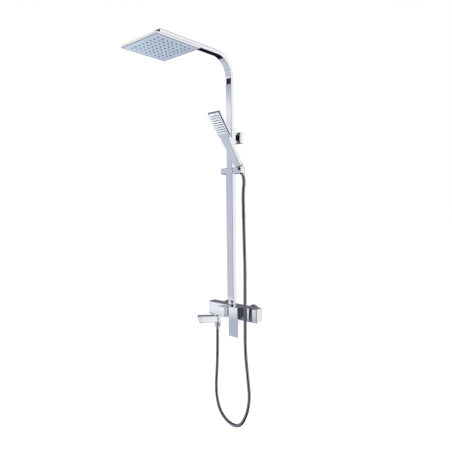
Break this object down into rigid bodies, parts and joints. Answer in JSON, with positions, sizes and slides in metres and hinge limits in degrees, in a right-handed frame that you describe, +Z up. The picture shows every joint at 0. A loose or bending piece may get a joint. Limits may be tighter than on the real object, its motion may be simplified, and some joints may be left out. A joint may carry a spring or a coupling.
{
  "type": "rainfall shower column",
  "caption": "Wall-mounted telescopic shower column with square rain head, sliding hand shower on a hose, lever mixer, diverter knob and swivel bath spout.",
  "frame": {"origin": "on the wall plane, midway between the hot and cold inlets at mixer height", "axes": "+Z up the column, +Y into the wall, +X to the right seen from the front"},
  "size_m": [0.3122, 0.547, 1.6042],
  "materials": {
    "polished_chrome": "mirror-polished chrome plate on brass",
    "hose_chrome": "spiral-wound chromed metal hose",
    "face_steel": "polished steel spray plate",
    "handset_white": "pale gloss spray plate",
    "brass": "machined brass",
    "nozzle_rubber": "soft grey silicone",
    "rib_rubber": "soft pale grey silicone",
    "black_gloss": "black gloss",
    "seal_rubber": "black rubber",
    "white_plastic": "white acetal",
    "plain_steel": "plain steel"
  },
  "bodies": {
    "root": {"mixer_shell": "polished_chrome", "left_end_cap": "polished_chrome", "right_end_cap": "polished_chrome", "mixer_core": "brass", "hot_wall_union": "polished_chrome", "cold_wall_union": "polished_chrome", "union_washers": "seal_rubber", "union_nuts": "polished_chrome", "wall_flanges": "polished_chrome", "mixing_cartridge": "white_plastic", "cartridge_nut": "brass", "diverter_cartridge": "brass", "diverter_bonnet": "brass", "spout_stem": "brass", "spout_collar": "polished_chrome", "column_spigot": "brass", "column_nut": "polished_chrome", "column_base_plug": "white_plastic", "lower_column": "polished_chrome", "column_liner": "white_plastic", "bracket_sleeve": "polished_chrome", "bracket_bar": "polished_chrome", "bracket_flange": "polished_chrome", "bracket_wall_plate": "plain_steel", "bracket_set_screws": "plain_steel", "shower_hose": "hose_chrome", "hose_hex_nut": "polished_chrome"},
    "riser": {"upper_column": "polished_chrome", "column_shoe": "white_plastic", "joint_insert": "black_gloss", "gooseneck_arm": "polished_chrome", "arm_end_plug": "black_gloss", "head_nipple": "polished_chrome"},
    "head_pivot": {"swivel_ball": "brass"},
    "rain_head": {"head_socket": "polished_chrome", "ball_nut": "polished_chrome", "socket_seal": "seal_rubber", "rain_head_shell": "polished_chrome", "rain_head_face": "face_steel", "rain_nozzles": "nozzle_rubber"},
    "slider": {"slider_body": "polished_chrome", "slider_lining": "white_plastic", "cradle_pin": "plain_steel"},
    "clamp_knob": {"slider_knob": "polished_chrome"},
    "cradle": {"handset_cradle": "polished_chrome"},
    "hand_shower": {"handset_body": "polished_chrome", "handset_face": "handset_white", "handset_strips": "rib_rubber", "hose_cone_nut": "polished_chrome"},
    "spout": {"spout_body": "polished_chrome", "spout_seals": "seal_rubber", "aerator_shell": "polished_chrome", "aerator_insert": "white_plastic"},
    "lever_turn": {"cartridge_spindle": "white_plastic"},
    "lever": {"lever_handle": "polished_chrome", "lever_stem": "plain_steel", "lever_grub_screw": "plain_steel"},
    "diverter": {"diverter_knob": "polished_chrome", "diverter_spindle": "brass"}
  },
  "joints": [
    {"name": "riser_height", "type": "slide", "parent": "root", "child": "riser", "axis": [0, 0, 1], "range_m": [-0.15, 0.12]},
    {"name": "head_turn", "type": "hinge", "parent": "riser", "child": "head_pivot", "pos_m": [0, -0.432, 1.047], "axis": [0, 0, 1], "range_deg": [-45, 45]},
    {"name": "head_tilt", "type": "hinge", "parent": "head_pivot", "child": "rain_head", "pos_m": [0, -0.432, 1.047], "axis": [1, 0, 0], "range_deg": [-12, 12]},
    {"name": "slider_height", "type": "slide", "parent": "root", "child": "slider", "axis": [0, 0, 1], "range_m": [-0.3, 0], "deforming": ["shower_hose"]},
    {"name": "clamp_turn", "type": "hinge", "parent": "slider", "child": "clamp_knob", "pos_m": [-0.038, -0.06, 0.601], "axis": [1, 0, 0], "range_deg": [-90, 90]},
    {"name": "cradle_tilt", "type": "hinge", "parent": "slider", "child": "cradle", "pos_m": [0.0434, -0.07, 0.601], "axis": [1, 0, 0], "range_deg": [-20, 20], "deforming": ["shower_hose"]},
    {"name": "handset_lift", "type": "slide", "parent": "cradle", "child": "hand_shower", "axis": [0, -0.6088, 0.7934], "range_m": [0, 0.05], "deforming": ["shower_hose"]},
    {"name": "spout_swivel", "type": "hinge", "parent": "root", "child": "spout", "pos_m": [-0.09, -0.058, -0.05], "axis": [0, 0, 1], "range_deg": [-30, 60]},
    {"name": "lever_temperature", "type": "hinge", "parent": "root", "child": "lever_turn", "pos_m": [0.048, -0.078, 0], "axis": [0, 1, 0], "range_deg": [-40, 40]},
    {"name": "lever_flow", "type": "hinge", "parent": "lever_turn", "child": "lever", "pos_m": [0.048, -0.09, 0.014], "axis": [1, 0, 0], "range_deg": [-18, 0]},
    {"name": "diverter_turn", "type": "hinge", "parent": "root", "child": "diverter", "pos_m": [-0.025, -0.09, -0.001], "axis": [0, 1, 0], "range_deg": [0, 90]}
  ]
}
